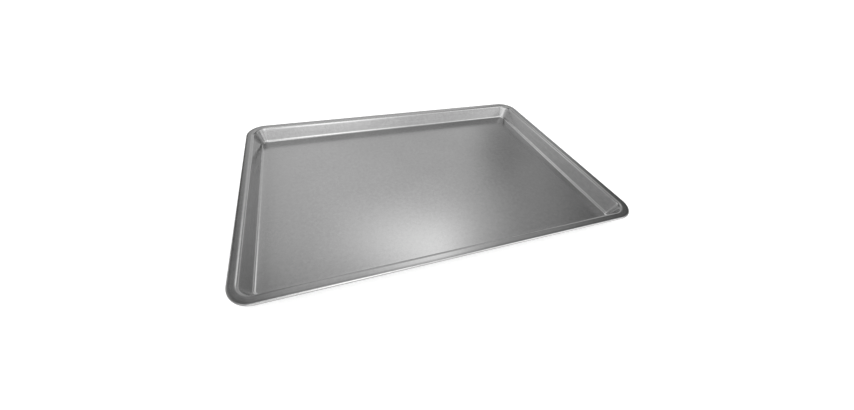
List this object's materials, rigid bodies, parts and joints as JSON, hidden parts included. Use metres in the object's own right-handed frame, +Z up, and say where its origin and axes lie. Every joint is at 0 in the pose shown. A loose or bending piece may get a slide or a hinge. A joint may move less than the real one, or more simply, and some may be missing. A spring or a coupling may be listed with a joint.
{
  "type": "jelly roll pan",
  "caption": "Shallow rectangular baking pan pressed from one steel sheet, with sloping walls, rounded corners and a flat rim whose edge is rolled round a stiffening wire.",
  "frame": {"origin": "middle of the pan's underside, on the surface that it stands on", "axes": "+X along the pan's length, +Y across its width, +Z up"},
  "size_m": [0.41, 0.275, 0.0167],
  "materials": {
    "coated_steel": "satin grey metallic non-stick coating on both sides of the sheet",
    "wire_steel": "drawn wire, bare"
  },
  "bodies": {
    "root": {"pan_shell": "coated_steel", "rim_wire": "wire_steel"}
  },
  "joints": []
}
